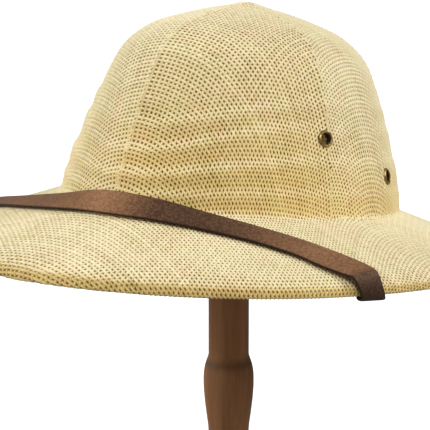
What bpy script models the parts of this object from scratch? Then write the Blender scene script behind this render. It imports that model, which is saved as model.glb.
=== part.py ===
"""Straw pith helmet with a leather chin strap, tipped back on a turned wooden stand.

Metres, +Z up.  The wearer's front is -Y and the wearer's left is +X.  The origin is
the middle of the underside of the stand.  The helmet is modelled in its own frame,
whose origin is the middle of the oval where the crown meets the brim, and the frame
is an empty that is tipped back on top of the stand.
"""
import bpy
import math
import numpy as np
from mathutils import Vector, Matrix

# ---------------------------------------------------------------- sizes (metres)
GAP = 0.0003                # clearance between neighbouring pieces

# helmet on the stand
HAT_AT = (0.0010, 0.0006, 0.2320)   # the crown-brim oval's middle over the base
HAT_TIP = math.radians(8.1)  # the front is raised by this much

# crown
CROWN_LENGTH = 0.2030       # front to back, outside, where it meets the brim
CROWN_WIDTH = 0.1745        # side to side, outside
CROWN_HEIGHT = 0.1052       # from the brim oval to the top of the dome
CROWN_EGG = 0.020           # share by which the front is narrower than the middle
CROWN_SWELL = 0.0012        # how far the middle of the crown swells to the back
WALL = 0.0016               # blocked straw cloth
RIDGES = 5                  # pressed ridges from the top down to the ribs
RIDGE_HEIGHT = 0.0018
RIDGE_SPREAD = 0.0055
NUB_HEIGHT = 0.0020         # small point left by the block at the very top
NUB_RADIUS = 0.0080

# crown outline: height share of the crown, radius share of the oval
CROWN_OUTLINE = (
    (0.00, 1.000), (0.15, 0.970), (0.30, 0.918), (0.45, 0.862), (0.60, 0.797),
    (0.75, 0.714), (0.87, 0.560), (0.95, 0.318), (0.985, 0.160), (1.00, 0.000),
)

# pressed ribs round the lower crown: height of each step at the front and back, half
# way round to the sides, and at the sides; how far its crest stands out in front, at
# the sides and behind
RIBS = (
    # ends,  corner, side,   out front, out side, out back
    (0.0430, 0.0552, 0.0590, 0.0008, 0.0004, 0.0004),
    (0.0292, 0.0438, 0.0445, 0.0011, 0.0005, 0.0004),
    (0.0168, 0.0270, 0.0295, 0.0011, 0.0005, 0.0004),
    (0.0068, 0.0117, 0.0132, 0.0009, 0.0004, 0.0003),
)
RIB_STEP = 0.0036           # from the hollow above a step down to its crest
RIB_TUCK = 0.6              # depth of that hollow over how far the crest stands out

# brim: mean, front-back part (times cos), front+back part (times cos of 2 angles)
BRIM_WIDTH = (0.0627, 0.0066, 0.0013)
BRIM_DROP = (0.0215, 0.0059, 0.0012)
BRIM_BOW = (1.04, 0.05)     # 1 is a straight slope, more is steeper at the crown
LIP = (0.0061, 0.0021)      # turned-down lip: mean height, front-back part

# eyelets: angle from the front, height above the oval
EYELETS = (
    (math.radians(70.6), 0.0402),
    (math.radians(109.4), 0.0208),
)
EYELET_RADIUS = 0.0046
EYELET_HOLE = 0.0029
EYELET_BARREL = 0.0034
EYELET_LEAF = 0.0008
EYELET_FLAT = 0.0085        # the straw is pressed flat this far round an eyelet

# chin strap
STRAP_WIDTH = 0.0148
STRAP_THICK = 0.0015
STRAP_EDGE_ANGLE = math.radians(63.7)   # where it goes over the brim's edge

# stand, turned from wood
BASE_RADIUS = 0.0750
BASE_THICK = 0.0180
CAP_RADIUS = 0.0480
CAP_THICK = 0.0240
CAP_TOP = 0.3342            # height of the cap's top above the table
POST_RADIUS = 0.01115

COLUMNS = 60                # columns of the shell's grid, a multiple of RIDGES


# ---------------------------------------------------------------- form of the helmet
def outline_radius(q):
    """Radius share of the crown at a height share, a smooth curve through the table.

    The table is read against the angle asin(height), so the top comes out round.
    """
    t = np.arcsin(np.clip([row[0] for row in CROWN_OUTLINE], 0, 1))
    r = np.array([row[1] for row in CROWN_OUTLINE])
    step = np.diff(t)
    slope = np.diff(r) / step
    m = np.empty_like(r)
    m[0], m[-1] = slope[0], slope[-1]
    for i in range(1, len(r) - 1):
        w1 = 2 * step[i] + step[i - 1]
        w2 = step[i] + 2 * step[i - 1]
        m[i] = (w1 + w2) / (w1 / slope[i - 1] + w2 / slope[i])
    x = math.asin(min(max(q, 0.0), 1.0))
    i = int(min(np.searchsorted(t, x, side="right") - 1, len(step) - 1))
    u = (x - t[i]) / step[i]
    return ((1 + 2 * u) * (1 - u) ** 2 * r[i] + u * (1 - u) ** 2 * step[i] * m[i]
            + u * u * (3 - 2 * u) * r[i + 1] + u * u * (u - 1) * step[i] * m[i + 1])


def oval_radius(angle):
    """Distance from the middle to the crown-brim oval, at an angle from the front."""
    r = 1.0 / math.hypot(math.sin(angle) / (CROWN_WIDTH / 2),
                         math.cos(angle) / (CROWN_LENGTH / 2))
    return r * (1 - CROWN_EGG * math.cos(angle) * math.sin(angle) ** 2)


def rib_height(rib, angle):
    end, corner, side = rib[:3]
    bow = ((end + side) / 2 - corner) / 2
    return ((end + side) / 2 - bow + (end - side) / 2 * math.cos(2 * angle)
            + bow * math.cos(4 * angle))


def rib_push(rib, angle, height):
    """How far a crest stands out, less where an eyelet presses the straw flat."""
    front, side, back = rib[3:]
    push = ((front + back) / 4 + side / 2 + (front - back) / 2 * math.cos(angle)
            + ((front + back) / 4 - side / 2) * math.cos(2 * angle))
    for at, up in EYELETS:
        for side in (at, 2 * math.pi - at):
            turn = abs((angle - side + math.pi) % (2 * math.pi) - math.pi)
            away = math.hypot(turn * CROWN_WIDTH / 2, height - up)
            push *= 1 - math.exp(-(away / EYELET_FLAT) ** 2)
    return push


def ridge_push(angle, radius, fade):
    turn = 2 * math.pi / RIDGES
    off = abs((angle + turn / 2) % turn - turn / 2) * radius
    return RIDGE_HEIGHT * fade * math.exp(-off / RIDGE_SPREAD)


def crown_point(angle, height, push=0.0):
    """A point of the crown's outer surface, in the helmet's frame."""
    q = height / CROWN_HEIGHT
    share = outline_radius(q)
    radius = oval_radius(angle) * share
    ridge_fade = min(1.0, max(0.25, (height - 0.012) / 0.040)) * min(1.0, radius / 0.020)
    out = radius + push + ridge_push(angle, radius, ridge_fade)
    nub = NUB_HEIGHT * math.exp(-(radius / NUB_RADIUS) ** 2)
    swell = CROWN_SWELL * math.sin(math.pi * q)
    return Vector((out * math.sin(angle), -out * math.cos(angle) + swell, height + nub))


def wave(parts, angle):
    return sum(part * math.cos(i * angle) for i, part in enumerate(parts))


def brim_drop(angle, share):
    bow = wave(BRIM_BOW, angle)
    return wave(BRIM_DROP, angle) * (bow * share + (1 - bow) * share * share)


def brim_point(angle, share, lower=0.0):
    """A point of the brim's upper surface: share 0 at the crown, 1 at the edge."""
    out = oval_radius(angle) + wave(BRIM_WIDTH, angle) * share
    return Vector((out * math.sin(angle), -out * math.cos(angle),
                   -brim_drop(angle, share) - lower))


def brim_height(x, y):
    """Height of the brim's upper surface under or over a place in plan."""
    angle = math.atan2(x, -y)
    share = (math.hypot(x, y) - oval_radius(angle)) / wave(BRIM_WIDTH, angle)
    return -brim_drop(angle, min(max(share, 0.0), 1.0))


# ---------------------------------------------------------------- scene helpers
for old in list(bpy.data.objects):
    bpy.data.objects.remove(old, do_unlink=True)

model = bpy.data.collections.new("pith_helmet_on_stand")
cutters = bpy.data.collections.new("cutters")
bpy.context.scene.collection.children.link(model)
bpy.context.scene.collection.children.link(cutters)


def material(name, colour, roughness, metallic=0.0):
    made = bpy.data.materials.new(name)
    made.use_nodes = True
    shader = made.node_tree.nodes["Principled BSDF"]
    shader.inputs["Base Color"].default_value = (*colour, 1.0)
    shader.inputs["Roughness"].default_value = roughness
    shader.inputs["Metallic"].default_value = metallic
    made.diffuse_color = (*colour, 1.0)
    return made


def grid_object(name, rings, closed_round, pole=None, mat=None):
    """An object from rings of points, joined by quads, with a pole point if given."""
    verts, faces = [], []
    count = len(rings[0])
    for ring in rings:
        verts.extend(ring)
    span = count if closed_round else count - 1
    for j in range(len(rings) - 1):
        for i in range(span):
            a, b = j * count + i, j * count + (i + 1) % count
            faces.append((a, a + count, b + count, b))
    if pole is not None:
        verts.append(pole)
        top = len(verts) - 1
        for i in range(count):
            faces.append((top, i, (i + 1) % count))
    mesh = bpy.data.meshes.new(name)
    mesh.from_pydata([tuple(v) for v in verts], [], faces)
    mesh.validate()
    mesh.shade_smooth()
    made = bpy.data.objects.new(name, mesh)
    model.objects.link(made)
    if mat:
        mesh.materials.append(mat)
    return made


def turned(name, outline, steps, mat, collection=model):
    """A turned piece from an outline of (radius, height), listed from top to bottom."""
    mesh = bpy.data.meshes.new(name)
    verts = [(r, 0.0, z) for r, z in outline]
    mesh.from_pydata(verts, [(i, i + 1) for i in range(len(verts) - 1)], [])
    made = bpy.data.objects.new(name, mesh)
    collection.objects.link(made)
    screw = made.modifiers.new("turn", "SCREW")
    screw.steps = screw.render_steps = steps
    screw.use_merge_vertices = True
    screw.merge_threshold = 0.00001
    screw.use_smooth_shade = True
    if mat:
        mesh.materials.append(mat)
    return made


def thicken(made, thickness, offset):
    solid = made.modifiers.new("wall", "SOLIDIFY")
    solid.thickness = thickness
    solid.offset = offset
    return solid


straw = material("straw", (0.80, 0.68, 0.42), 0.80)
leather = material("brown_leather", (0.17, 0.085, 0.055), 0.50)
brass = material("antique_brass", (0.26, 0.19, 0.07), 0.40, 1.0)
wood = material("dark_wood", (0.085, 0.045, 0.026), 0.50)

hat = bpy.data.objects.new("helmet_frame", None)
hat.location = HAT_AT
hat.rotation_euler = (-HAT_TIP, 0.0, 0.0)
model.objects.link(hat)
HAT_MATRIX = Matrix.Translation(HAT_AT) @ Matrix.Rotation(-HAT_TIP, 4, "X")


# ---------------------------------------------------------------- straw shell
def shell_column(angle):
    """Points of one column of the outer surface, from near the top to the lip's end."""
    column = []
    crests = [rib_height(rib, angle) for rib in RIBS]
    # dome, from the top to just above the highest rib
    for q in (0.9985, 0.993, 0.978, 0.955, 0.925, 0.885, 0.835, 0.77, 0.70):
        column.append(crown_point(angle, q * CROWN_HEIGHT))
    above = crests[0] + RIB_STEP / 2 + 0.0060
    for share in (0.5, 1.0):
        height = 0.70 * CROWN_HEIGHT * (1 - share) + above * share
        column.append(crown_point(angle, height))
    # ribs: the hollow above a step, its crest, and the slope down to the next hollow
    for i, rib in enumerate(RIBS):
        step = crests[i]
        below = crests[i + 1] if i + 1 < len(RIBS) else 0.0
        push = rib_push(rib, angle, step)
        column.append(crown_point(angle, step + RIB_STEP / 2, -RIB_TUCK * push))
        column.append(crown_point(angle, step - RIB_STEP / 2, push))
        column.append(crown_point(angle, (step + below) / 2, 0.2 * push))
    column[-1] = crown_point(angle, 0.0014)
    # brim, from the crease to the rounded turn of the lip and its free edge
    for share, lower in ((0.016, 0.0), (0.30, 0.0), (0.62, 0.0), (0.90, 0.0),
                         (0.965, 0.0003), (0.992, 0.0013), (1.0, 0.0030)):
        column.append(brim_point(angle, share, lower))
    lip = wave(LIP, angle)
    column.append(brim_point(angle, 1.0, lip))
    return column


columns = [shell_column(2 * math.pi * i / COLUMNS) for i in range(COLUMNS)]
rings = [[column[j] for column in columns] for j in range(len(columns[0]))]
top = Vector((0.0, 0.0, CROWN_HEIGHT + NUB_HEIGHT))
shell = grid_object("straw_shell", rings, True, pole=top, mat=straw)
shell.parent = hat
thicken(shell, WALL, -1.0)


# ---------------------------------------------------------------- eyelets
def surface_frame(angle, height):
    """A frame on the crown: +Z out of the surface, +Y up along it."""
    here = crown_point(angle, height)
    up = (crown_point(angle, height + 0.006) - crown_point(angle, height - 0.006)).normalized()
    step = 0.006 / oval_radius(angle)
    along = (crown_point(angle + step, height) - crown_point(angle - step, height)).normalized()
    out = along.cross(up).normalized()
    up = out.cross(along).normalized()
    return Matrix(((along.x, up.x, out.x, here.x), (along.y, up.y, out.y, here.y),
                   (along.z, up.z, out.z, here.z), (0, 0, 0, 1)))


OUTER = 0.0009              # underside of the outer leaf above the nominal surface
INNER = -WALL - 0.0009      # upper side of the inner leaf
eyelet_outline = (
    (EYELET_HOLE, OUTER + 0.35 * EYELET_LEAF),
    (EYELET_HOLE + 0.0006, OUTER + 1.0 * EYELET_LEAF),
    (EYELET_RADIUS - 0.0009, OUTER + 1.0 * EYELET_LEAF),
    (EYELET_RADIUS, OUTER + 0.15 * EYELET_LEAF),
    (EYELET_RADIUS - 0.0002, OUTER),
    (EYELET_BARREL, OUTER),
    (EYELET_BARREL, INNER),
    (EYELET_RADIUS - 0.0006, INNER),
    (EYELET_RADIUS - 0.0008, INNER - EYELET_LEAF),
    (EYELET_HOLE, INNER - EYELET_LEAF),
    (EYELET_HOLE, OUTER + 0.35 * EYELET_LEAF),
)
for row, (at, up) in (("front", EYELETS[0]), ("rear", EYELETS[1])):
    for side, angle in (("left", at), ("right", 2 * math.pi - at)):
        frame = surface_frame(angle, up)
        ring = turned(f"eyelet_{row}_{side}", eyelet_outline, 16, brass)
        ring.parent = hat
        ring.matrix_local = frame
        bpy.ops.mesh.primitive_cylinder_add(vertices=16, radius=EYELET_BARREL + GAP,
                                            depth=0.020)
        cutter = bpy.context.active_object
        cutter.name = f"cut_{row}_{side}"
        for holder in list(cutter.users_collection):
            holder.objects.unlink(cutter)
        cutters.objects.link(cutter)
        cutter.matrix_world = HAT_MATRIX @ frame
        cutter.hide_render = True
        cutter.display_type = "WIRE"
        cut = shell.modifiers.new(cutter.name, "BOOLEAN")
        cut.operation = "DIFFERENCE"
        cut.solver = "EXACT"
        cut.object = cutter


# ---------------------------------------------------------------- chin strap
# Over the brim, from the right side to the left: distance to the side, the strap's
# middle in front of the crown's middle, lean above level, its lower edge over the brim
STRAP_RUN = (
    # side,   forward, lean, over the brim
    (-0.113, 0.0768, 22.0, 0.0009),
    (-0.100, 0.0798, 19.5, 0.0009),
    (-0.078, 0.0914, 20.5, 0.0009),
    (-0.055, 0.1022, 24.5, 0.0009),
    (-0.032, 0.1086, 30.5, 0.0010),
    (-0.014, 0.1106, 40.5, 0.0010),
    (0.000, 0.1109, 47.0, 0.0009),
    (0.014, 0.1097, 46.5, 0.0010),
    (0.032, 0.1048, 39.5, 0.0010),
    (0.055, 0.0960, 29.0, 0.0009),
    (0.078, 0.0860, 24.5, 0.0009),
    (0.098, 0.0785, 23.5, 0.0009),
    (0.112, 0.0761, 26.0, 0.0009),
)
# then over the lip and under the brim: distance out from the brim's edge, height over
# it, slide along the edge, and how far the rear of the strap still leans up
STRAP_TURN = (
    # out,   up,      slide,   lean
    (-0.0050, 0.0039, -0.0087, 16.0), (0.0005, 0.0028, -0.0058, 9.0),
    (0.0028, -0.0012, -0.0037, 2.0), (0.0029, -0.0048, -0.0018, 0.0),
    (0.0011, -0.0079, 0.0, 0.0), (-0.0024, -0.0079, 0.0, 0.0),
    (-0.0048, -0.0052, 0.0, 0.0), (-0.0120, -0.0030, 0.0, 0.0),
)
STRAP_UNDER = 0.0034        # its middle below the brim's upper surface
STRAP_INSIDE = 0.0033       # its middle inside the crown's outer surface
STRAP_END = 0.0150          # height of its end inside the crown


def strap_over_brim():
    """Middle and across direction of the strap where it lies over the brim."""
    out = []
    sides = [row[0] for row in STRAP_RUN]
    slopes = np.gradient([-row[1] for row in STRAP_RUN], sides)
    for (side, forward, lean, lift), slope in zip(STRAP_RUN, slopes):
        inward = Vector((-slope, 1.0, 0.0)).normalized()
        lean = math.radians(lean)
        across = inward * math.cos(lean) + Vector((0, 0, 1)) * math.sin(lean)
        foot = Vector((side, -forward, 0.0)) - inward * (STRAP_WIDTH / 2 * math.cos(lean))
        foot.z = brim_height(foot.x, foot.y) + lift + STRAP_THICK / 2 * math.cos(lean)
        out.append((foot + across * STRAP_WIDTH / 2, across))
    return out


def strap_end():
    """Middle and across direction from over the left lip to the strap's hidden end."""
    out = []
    angle = STRAP_EDGE_ANGLE
    radial = Vector((math.sin(angle), -math.cos(angle), 0.0))
    before = brim_point(angle - 0.04, 1.0)
    after = brim_point(angle + 0.04, 1.0)
    across = (after - before).normalized()
    edge = oval_radius(angle) + wave(BRIM_WIDTH, angle)
    edge_z = -brim_drop(angle, 1.0)
    for outward, up, slide, lean in STRAP_TURN:
        lean = math.radians(lean)
        leaning = across * math.cos(lean) + Vector((0, 0, 1)) * math.sin(lean)
        lift = Vector((0, 0, edge_z + up + STRAP_WIDTH / 2 * math.sin(lean)))
        out.append((radial * (edge + outward) + across * slide + lift, leaning))
    for share in (0.62, 0.36, 0.12):
        middle = brim_point(angle, share, STRAP_UNDER)
        out.append((middle, across))
    wall = oval_radius(angle)
    out.append((radial * (wall - STRAP_INSIDE - 0.0022) + Vector((0, 0, -0.0012)), across))
    for height in (0.0055, STRAP_END):
        share = outline_radius(height / CROWN_HEIGHT)
        out.append((radial * (wall * share - STRAP_INSIDE - 0.0008) + Vector((0, 0, height)), across))
    return out


def smooth_through(points, parts):
    """Catmull-Rom points through a list of vectors."""
    out = []
    for i in range(len(points) - 1):
        p0 = points[max(i - 1, 0)]
        p1, p2 = points[i], points[i + 1]
        p3 = points[min(i + 2, len(points) - 1)]
        for k in range(parts):
            t = k / parts
            out.append(0.5 * ((2 * p1) + (p2 - p0) * t + (2 * p0 - 5 * p1 + 4 * p2 - p3) * t * t
                              + (3 * p1 - p0 - 3 * p2 + p3) * t ** 3))
    out.append(points[-1])
    return out


end = strap_end()
mirror = Matrix.Scale(-1, 4, Vector((1, 0, 0)))
flip = [(mirror @ middle, mirror @ across) for middle, across in reversed(end)]
for k, (middle, across) in enumerate(flip):
    if across.y < 0:
        flip[k] = (middle, -across)
stations = flip + strap_over_brim() + end
middles = smooth_through([m for m, a in stations], 3)
acrosses = [a.normalized() for a in smooth_through([a for m, a in stations], 3)]
lower = [m - a * STRAP_WIDTH / 2 for m, a in zip(middles, acrosses)]
upper = [m + a * STRAP_WIDTH / 2 for m, a in zip(middles, acrosses)]
strap_rings = [[u, m, l] for l, m, u in zip(lower, middles, upper)]
strap = grid_object("chin_strap", strap_rings, False, mat=leather)
strap.parent = hat
thicken(strap, STRAP_THICK, 0.0)
STRAP_LENGTH = sum((b - a).length for a, b in zip(middles, middles[1:]))


# ---------------------------------------------------------------- turned stand
base_outline = (
    (0.0, BASE_THICK), (0.030, BASE_THICK), (BASE_RADIUS - 0.0120, BASE_THICK - 0.0030),
    (BASE_RADIUS - 0.0030, BASE_THICK - 0.0070), (BASE_RADIUS, 0.0075),
    (BASE_RADIUS - 0.0004, 0.0030), (BASE_RADIUS - 0.0022, 0.0), (0.0, 0.0),
)
turned("stand_base", base_outline, 36, wood)

# post: radius and height, from under the cap down to the base; the swelling and the
# two plain stems are the photo's, the foot below them is plain
post_outline = (
    (0.0, CAP_TOP - CAP_THICK - GAP), (POST_RADIUS, CAP_TOP - CAP_THICK - GAP),
    (POST_RADIUS, 0.1440), (0.01180, 0.1420), (0.01290, 0.1390), (0.01370, 0.1350),
    (0.01395, 0.1310), (0.01390, 0.1260), (0.01330, 0.1180), (0.01230, 0.1100),
    (0.01130, 0.1030), (POST_RADIUS, 0.0980), (POST_RADIUS, 0.0420),
    (0.0135, 0.0340), (0.0190, 0.0260), (0.0220, BASE_THICK + GAP), (0.0, BASE_THICK + GAP),
)
turned("stand_post", post_outline, 24, wood)

cap_outline = (
    (0.0, CAP_TOP), (0.40 * CAP_RADIUS, CAP_TOP - 0.0020), (0.70 * CAP_RADIUS, CAP_TOP - 0.0070),
    (0.90 * CAP_RADIUS, CAP_TOP - 0.0135), (CAP_RADIUS, CAP_TOP - 0.0200),
    (0.97 * CAP_RADIUS, CAP_TOP - CAP_THICK), (0.0, CAP_TOP - CAP_THICK),
)
turned("stand_cap", cap_outline, 28, wood)
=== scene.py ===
"""Pith helmet of open-weave straw cloth on a turned wooden stand, dressed and lit.

Lengths are metres unless a name says otherwise. The helmet's forms are worked out in
its own frame, with its front along -Y, and then set on the stand with HAT_MATRIX. An
angle goes from the front on to the wearer's left. A place along the cloth is 0 at the
top, 1 at the crease and 2 at the lip's end.
"""
from math import atan2, ceil, cos, exp, hypot, pi, radians, sin, tau

import bmesh
import bpy
import numpy as np
from mathutils import Matrix, Vector


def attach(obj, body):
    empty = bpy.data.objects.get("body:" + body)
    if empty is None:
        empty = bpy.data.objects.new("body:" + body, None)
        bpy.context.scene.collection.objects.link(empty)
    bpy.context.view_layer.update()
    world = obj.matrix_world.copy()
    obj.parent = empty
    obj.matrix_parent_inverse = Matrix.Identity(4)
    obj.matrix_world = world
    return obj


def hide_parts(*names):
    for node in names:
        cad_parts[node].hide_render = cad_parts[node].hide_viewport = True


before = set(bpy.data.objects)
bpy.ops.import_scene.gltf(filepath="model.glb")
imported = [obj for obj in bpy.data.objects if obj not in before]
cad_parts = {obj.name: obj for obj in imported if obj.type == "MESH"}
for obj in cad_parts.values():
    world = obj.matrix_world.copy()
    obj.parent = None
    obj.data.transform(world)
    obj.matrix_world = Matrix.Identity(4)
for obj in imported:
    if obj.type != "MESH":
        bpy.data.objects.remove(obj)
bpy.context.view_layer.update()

# ---- sizes of the frame
HAT_AT = (0.001, 0.0006, 0.232)  # the crown-brim oval's middle over the base
HAT_TIP = radians(8.1)  # the front is raised by this much
HAT_MATRIX = Matrix.Translation(HAT_AT) @ Matrix.Rotation(-HAT_TIP, 4, "X")

CROWN_LENGTH = 0.203  # front to back, outside, where it meets the brim
CROWN_WIDTH = 0.1745  # side to side, outside
CROWN_HEIGHT = 0.1052  # from the brim oval to the top of the dome
CROWN_EGG = 0.02  # share by which the front is narrower than the middle
CROWN_SWELL = 0.0012  # how far the middle of the crown swells to the back
WALL = 0.0016  # blocked straw cloth
RIDGES = 5  # pressed ridges from the top down to the ribs
PANEL_TURN = tau / RIDGES
PANEL_REACH = 0.8 * PANEL_TURN  # its yarns are looked for this far from its middle
RIDGE_HEIGHT = 0.0026  # higher than the solid's, to show through the yarns
RIDGE_SPREAD = 0.006
RIDGE_RISE = (0.012, 0.04)  # where a ridge starts to rise to that, and over what height
RIDGE_LEAST = 0.25  # share of that which it keeps in any case
RIDGE_TOP = 0.02  # radius within which it fades
NUB_HEIGHT = 0.002  # small point left by the block at the very top
NUB_RADIUS = 0.008
CROWN_OUTLINE = (
    # share of the height, share of the radius
    (0.0, 1.0), (0.15, 0.97), (0.3, 0.918), (0.45, 0.862), (0.6, 0.797),
    (0.75, 0.714), (0.87, 0.56), (0.95, 0.318), (0.985, 0.16), (1.0, 0.0),
)
RIBS = (
    # height at the ends, corners, sides; crest stands out in front, at sides, behind
    (0.043, 0.0552, 0.059, 0.0008, 0.0004, 0.0004),
    (0.0292, 0.0438, 0.0445, 0.0011, 0.0005, 0.0004),
    (0.0168, 0.027, 0.0295, 0.0011, 0.0005, 0.0004),
    (0.0068, 0.0117, 0.0132, 0.0009, 0.0004, 0.0003),
)
RIB_STEP = 0.0036  # from the hollow above a step down to its crest
RIB_TUCK = 0.6  # depth of that hollow over how far the crest stands out
RIB_REST = 0.2  # how far the wall stands out between two ribs, over the same
RIB_FADE = 0.008  # height over which the highest hollow runs out
BRIM_WIDTH = (0.0627, 0.0066, 0.0013)  # mean, times cos, times cos of 2 angles
BRIM_DROP = (0.0215, 0.0059, 0.0012)
BRIM_BOW = (1.04, 0.05)  # 1 is a straight slope, more is steeper at the crown
BRIM_SAG = (1.8, 0.0012)  # from this place to the lip the brim sinks by this much
LIP = (0.0061, 0.0021)  # turned-down lip: mean height, front-back part

EYELETS = ((radians(70.6), 0.0402), (radians(109.4), 0.0208))
EYELET_RADIUS = 0.0046
EYELET_HOLE = 0.0029
EYELET_BARREL = 0.0034
EYELET_LEAF = 0.0008
EYELET_FLAT = 0.0085  # the straw is pressed flat this far round an eyelet
EYELET_OUTER = -0.0002  # underside of the outer leaf over the nominal surface
EYELET_INNER = -WALL - 0.0009
EYELET_SUNK = 0.0011  # the rim's edge is pressed into the straw
EYELET_REACH = 0.01  # what is further from its rim's plane isn't at the eyelet

STRAP_WIDTH = 0.0148
STRAP_THICK = 0.0015
STRAP_EDGE_ANGLE = radians(63.7)  # where it goes over the brim's edge
STRAP_RUN = (
    # side, forward, lean in degrees, over the brim, how light the leather is painted: painted
    # light and shade along the strap
    (-0.113, 0.0768, 22, 0.0009, 0.55), (-0.1, 0.0798, 19.5, 0.0009, 0.55),
    (-0.078, 0.0914, 20.5, 0.0009, 0.6), (-0.055, 0.1022, 24.5, 0.0009, 0.62),
    (-0.032, 0.1086, 30.5, 0.001, 0.6), (-0.014, 0.1106, 40.5, 0.001, 0.66),
    (0.0, 0.1109, 47, 0.0009, 0.82), (0.014, 0.1097, 46.5, 0.001, 0.62),
    (0.032, 0.1048, 39.5, 0.001, 0.24), (0.055, 0.096, 29, 0.0009, 0.22),
    (0.078, 0.086, 24.5, 0.0009, 0.38), (0.098, 0.0785, 23.5, 0.0009, 0.58),
    (0.112, 0.0761, 26, 0.0009, 0.62),
)
STRAP_TURN = (
    # out from the brim's edge, over it, slide along it, lean in degrees, how light it is painted:
    # painted light and shade round the fold
    (-0.005, 0.0039, -0.0087, 16, 0.6), (0.0005, 0.0028, -0.0058, 9, 0.34),
    (0.0028, -0.0012, -0.0037, 2, 0.12), (0.0029, -0.0048, -0.0018, 0, 0.06),
    (0.0011, -0.0079, 0, 0, 0.06), (-0.0024, -0.0079, 0, 0, 0.2),
    (-0.0048, -0.0052, 0, 0, 0.4), (-0.012, -0.003, 0, 0, 0.5),
)
STRAP_SECTION = (
    # one side of the section: share across, share of the thickness, how much of an edge, where
    # the strap is painted near-black as painted shadow
    (-0.9, 0.93, 0.0), (-0.6, 1.0, 0.0), (-0.2, 1.0, 0.0), (0.2, 1.0, 0.0),
    (0.6, 1.0, 0.0), (0.9, 0.93, 0.0), (0.975, 0.72, 0.7), (1.0, 0.3, 1.0),
    (1.0, -0.3, 1.0), (0.975, -0.72, 0.7),
)
STRAP_PARTS = 8  # steps from one station of the strap to the next
STRAP_HIDDEN_SHADE = 0.5
STRAP_UNDER = 0.0034  # its middle below the brim's upper surface
STRAP_INSIDE = 0.0033  # its middle inside the crown's outer surface
STRAP_END = 0.015  # height of its end inside the crown

BASE_RADIUS = 0.075
BASE_THICK = 0.018
CAP_RADIUS = 0.048
CAP_THICK = 0.024
CAP_TOP = 0.3342  # height of its top above the table
POST_RADIUS = 0.01115
GAP = 0.0003  # clearance between neighbouring pieces

# ---- the straw cloth
# The cloth is woven flat and blocked over the form. Its threads run straight down
# the front, back and sides, and shear towards the quarters.
CLOTH = (
    # place, threads per mm down the front, pull-in and turn at the quarters
    (0.0, 0.441, 0.0, 0.0), (0.35, 0.445, 0.03, 0.09), (0.6, 0.445, 0.11, 0.24),
    (0.8, 0.426, 0.15, 0.32), (1.0, 0.41, 0.17, 0.37), (1.3, 0.388, 0.18, 0.32),
    (2.0, 0.355, 0.2, 0.36),
)
CROWN_RUN = 0.157  # length of cloth from the top to the crease
BRIM_RUN = 0.0785  # and on to the lip's end, between its mean and its front
LIP_PLACE = 1.915  # where the brim turns down
HEM_PLACE = 2.055  # the hem is rolled in under the lip
HEM_ROLL = 0.0011  # radius of the rolled hem
HEM_TURN = 1.15 * pi  # how far round it is rolled
CREASE_ROUND = 0.0026  # the cloth's own rounding at creases
CLOTH_DEEP = 0.00048  # middle of the yarns under the outer surface
GROUND_DEEP = 0.0007  # the ground between the yarns under the outer surface: a dark sheet of painted shade
YARN_CROWN = 0.00032  # rise of a yarn's middle over its edges
YARN_SWING = 0.00017  # rise and fall over and under the crossing yarns
YARN_FILL = (
    # place, yarn width over yarn spacing along the warp and along the weft
    (0.0, 0.67, 0.71), (1.0, 0.67, 0.71), (1.12, 0.78, 0.8), (1.7, 0.78, 0.8),
    (1.88, 0.71, 0.74), (2.1, 0.67, 0.71),
)
YARN_SPACING = (0.001, 0.0032)  # least and most that a yarn's width is worked out for
YARN_SINK = (0.00005, 0.0)  # the warp lies a little deeper than the weft
YARN_TONE = (0.535, 0.585)  # and is a little darker
YARN_SECTION = (
    # share across, share of the rise, how much lighter, how much of the painted gold:
    # painted shade on a yarn's edges and a painted highlight on its middle
    (-1.0, -0.5, -0.34, 1.2), (0.0, 0.5, 0.16, 0.85), (1.0, -0.5, -0.34, 1.2),
)
YARN_ROOM = 0.0002  # yarns end this far from an eyelet's barrel
YARN_MAP = 0.36  # half of a yarn's width on the bake's map, in threads
MAP_APART = 3.0  # threads by which each panel is moved out on that map
MAP_EDGE = 0.004  # share of the map that is left free at its edge
LANE_TONE = 0.045  # spreads of chance: how light and wide a whole yarn is,
LANE_WIDTH = 0.05
STATION_TONE = 0.04  # how light and wide it is at a station,
STATION_SHIFT = 0.00004  # and how far it is off its line there
PANELS = (
    # a panel between two ridges, from the front on to the wearer's left:
    # turn of its threads in degrees, share of the common yarn width, how much lighter it is
    # painted: painted light that sets the panels on either side of a ridge apart
    (0.0, 0.985, -0.01), (-13.0, 0.975, 0.032), (0.0, 0.98, 0.0), (13.0, 0.975, 0.0),
    (-7.0, 0.955, 0.025),
)
BRIM_PANEL = (0.0, 1.0, 0.0)
STRAW_PAINTED_GOLD = (
    # how far the cloth faces up, how golden it is painted: painted light, pale where it faces up
    # and golden where it faces the side or down
    (-0.1, 1.0), (0.16, 1.0), (0.42, 0.66), (0.7, 0.28), (0.95, 0.0),
)
STRAW_PAINTED_GOLD_TINT = (0.93, 0.8, 0.5, 1.0)
STRAW_PAINTED_SHADING = (
    # place, how much of that painted gold shows, how much lighter or darker the straw is painted:
    # painted light and shade by place, lighter at the top and darker at the lip
    (0.0, 0.0, 0.04), (0.2, 0.12, 0.02), (0.35, 0.28, -0.01), (0.62, 0.48, -0.02),
    (0.74, 0.75, -0.01), (0.86, 1.0, 0.0), (0.95, 1.0, 0.04), (1.1, 1.0, -0.02),
    (1.8, 1.0, -0.035), (1.93, 1.0, -0.095), (2.1, 1.0, -0.095),
)
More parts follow.
